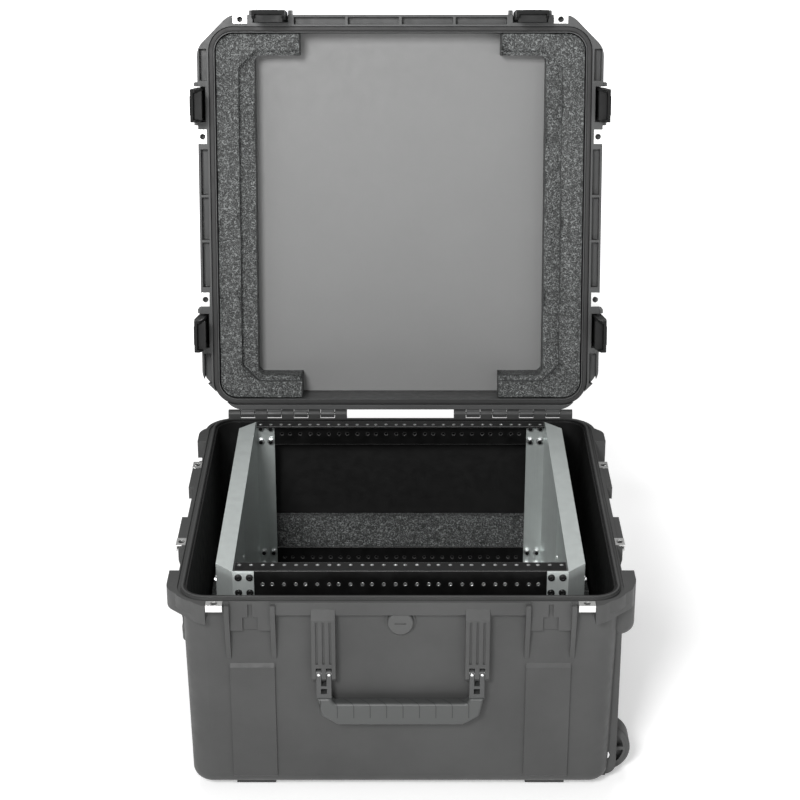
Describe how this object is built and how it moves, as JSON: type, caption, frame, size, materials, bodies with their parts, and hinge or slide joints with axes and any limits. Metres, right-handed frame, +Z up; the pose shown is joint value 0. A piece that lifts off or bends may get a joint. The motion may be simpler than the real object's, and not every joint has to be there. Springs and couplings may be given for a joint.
{
  "type": "equipment rack case",
  "caption": "Wheeled hard case with a hinged latching lid, bail handles and a cushioned steel rack cage for audio equipment.",
  "frame": {"origin": "centre of the case on the plane its feet stand on", "axes": "+X to the right, the wheel side; +Y to the back, the hinge side; +Z up"},
  "size_m": [0.638, 0.8207, 0.9357],
  "materials": {
    "shell": "moulded, fine orange-peel texture",
    "lid": "moulded, fine orange-peel texture",
    "latch": "moulded",
    "trigger": "moulded",
    "handle": "moulded",
    "grip": "overmoulded",
    "valve": "moulded",
    "plate": "stainless, bright",
    "pin": "stainless",
    "zinc": "zinc plated sheet",
    "rail": "black powder coat",
    "black_bolt": "black oxide",
    "nut": "zinc plated",
    "foam": "closed-cell polyethylene foam, cut face",
    "panel": "smooth sheet",
    "gasket": "moulded seal",
    "hub": "moulded, satin",
    "tyre": "solid polyurethane"
  },
  "bodies": {
    "base": {"base_shell": "shell", "base_lock_plates": "plate", "pressure_valve": "valve", "hinge_pins": "pin", "handle_pins": "pin", "wheel_axles": "pin", "rack_side_left": "zinc", "rack_side_right": "zinc", "rack_rail_front_top": "rail", "rack_rail_front_bottom": "rail", "rack_rail_rear_top": "rail", "rack_rail_rear_bottom": "rail", "rack_bolts": "black_bolt", "rack_nuts": "nut", "frame_studs": "nut", "base_foam_front": "foam", "base_foam_rear": "foam", "base_foam_left": "foam", "base_foam_right": "foam"},
    "lid": {"lid_shell": "lid", "lid_gasket": "gasket", "lid_panel": "panel", "lid_foam_left": "foam", "lid_foam_right": "foam", "lid_lock_plates": "plate", "latch_pins": "pin"},
    "latch_front_left": {"latch_front_left": "latch"},
    "trigger_front_left": {"trigger_front_left": "trigger"},
    "latch_front_right": {"latch_front_right": "latch"},
    "trigger_front_right": {"trigger_front_right": "trigger"},
    "latch_left_front": {"latch_left_front": "latch"},
    "trigger_left_front": {"trigger_left_front": "trigger"},
    "latch_left_rear": {"latch_left_rear": "latch"},
    "trigger_left_rear": {"trigger_left_rear": "trigger"},
    "latch_right_front": {"latch_right_front": "latch"},
    "trigger_right_front": {"trigger_right_front": "trigger"},
    "latch_right_rear": {"latch_right_rear": "latch"},
    "trigger_right_rear": {"trigger_right_rear": "trigger"},
    "handle_front": {"handle_front": "handle", "handle_grip_front": "grip"},
    "handle_left": {"handle_left": "handle", "handle_grip_left": "grip"},
    "handle_right": {"handle_right": "handle", "handle_grip_right": "grip"},
    "wheel_front": {"wheel_hub_front": "hub", "wheel_tyre_front": "tyre"},
    "wheel_rear": {"wheel_hub_rear": "hub", "wheel_tyre_rear": "tyre"}
  },
  "joints": [
    {"name": "lid_hinge", "type": "hinge", "parent": "base", "child": "lid", "pos_m": [0, 0.3087, 0.3106], "axis": [1, 0, 0], "range_deg": [0, 102.46]},
    {"name": "latch_front_left_pivot", "type": "hinge", "parent": "lid", "child": "latch_front_left", "pos_m": [-0.1985, 0.46873, 0.90784], "axis": [-1, 0, 0], "range_deg": [-3, 80]},
    {"name": "trigger_front_left_pivot", "type": "hinge", "parent": "latch_front_left", "child": "trigger_front_left", "pos_m": [-0.1985, 0.42536, 0.91983], "axis": [-1, 0, 0], "range_deg": [0, 6], "stiffness_Nm_per_rad": 0.08, "springref_deg": -5.73},
    {"name": "latch_front_right_pivot", "type": "hinge", "parent": "lid", "child": "latch_front_right", "pos_m": [0.1985, 0.46873, 0.90784], "axis": [-1, 0, 0], "range_deg": [-3, 80]},
    {"name": "trigger_front_right_pivot", "type": "hinge", "parent": "latch_front_right", "child": "trigger_front_right", "pos_m": [0.1985, 0.42536, 0.91983], "axis": [-1, 0, 0], "range_deg": [0, 6], "stiffness_Nm_per_rad": 0.08, "springref_deg": -5.73},
    {"name": "latch_left_front_pivot", "type": "hinge", "parent": "lid", "child": "latch_left_front", "pos_m": [-0.309, 0.44003, 0.77797], "axis": [0, -0.2158, -0.9764], "range_deg": [-3, 80]},
    {"name": "trigger_left_front_pivot", "type": "hinge", "parent": "latch_left_front", "child": "trigger_left_front", "pos_m": [-0.31135, 0.39615, 0.78767], "axis": [0, -0.2158, -0.9764], "range_deg": [0, 6], "stiffness_Nm_per_rad": 0.08, "springref_deg": -5.73},
    {"name": "latch_left_rear_pivot", "type": "hinge", "parent": "lid", "child": "latch_left_rear", "pos_m": [-0.309, 0.36409, 0.43426], "axis": [0, -0.2158, -0.9764], "range_deg": [-3, 80]},
    {"name": "trigger_left_rear_pivot", "type": "hinge", "parent": "latch_left_rear", "child": "trigger_left_rear", "pos_m": [-0.31135, 0.32021, 0.44396], "axis": [0, -0.2158, -0.9764], "range_deg": [0, 6], "stiffness_Nm_per_rad": 0.08, "springref_deg": -5.73},
    {"name": "latch_right_front_pivot", "type": "hinge", "parent": "lid", "child": "latch_right_front", "pos_m": [0.309, 0.44003, 0.77797], "axis": [0, 0.2158, 0.9764], "range_deg": [-3, 80]},
    {"name": "trigger_right_front_pivot", "type": "hinge", "parent": "latch_right_front", "child": "trigger_right_front", "pos_m": [0.31135, 0.39615, 0.78767], "axis": [0, 0.2158, 0.9764], "range_deg": [0, 6], "stiffness_Nm_per_rad": 0.08, "springref_deg": -5.73},
    {"name": "latch_right_rear_pivot", "type": "hinge", "parent": "lid", "child": "latch_right_rear", "pos_m": [0.309, 0.36409, 0.43426], "axis": [0, 0.2158, 0.9764], "range_deg": [-3, 80]},
    {"name": "trigger_right_rear_pivot", "type": "hinge", "parent": "latch_right_rear", "child": "trigger_right_rear", "pos_m": [0.31135, 0.32021, 0.44396], "axis": [0, 0.2158, 0.9764], "range_deg": [0, 6], "stiffness_Nm_per_rad": 0.08, "springref_deg": -5.73},
    {"name": "handle_front_swing", "type": "hinge", "parent": "base", "child": "handle_front", "pos_m": [0, -0.303, 0.2], "axis": [-1, 0, 0], "range_deg": [0, 100]},
    {"name": "handle_left_swing", "type": "hinge", "parent": "base", "child": "handle_left", "pos_m": [-0.303, 0, 0.2], "axis": [0, 1, 0], "range_deg": [0, 100]},
    {"name": "handle_right_swing", "type": "hinge", "parent": "base", "child": "handle_right", "pos_m": [0.303, 0, 0.2], "axis": [0, -1, 0], "range_deg": [0, 100]},
    {"name": "wheel_front_spin", "type": "hinge", "parent": "base", "child": "wheel_front", "pos_m": [0.282, -0.223, 0.042], "axis": [0, 1, 0], "continuous": true},
    {"name": "wheel_rear_spin", "type": "hinge", "parent": "base", "child": "wheel_rear", "pos_m": [0.282, 0.223, 0.042], "axis": [0, 1, 0], "continuous": true}
  ]
}
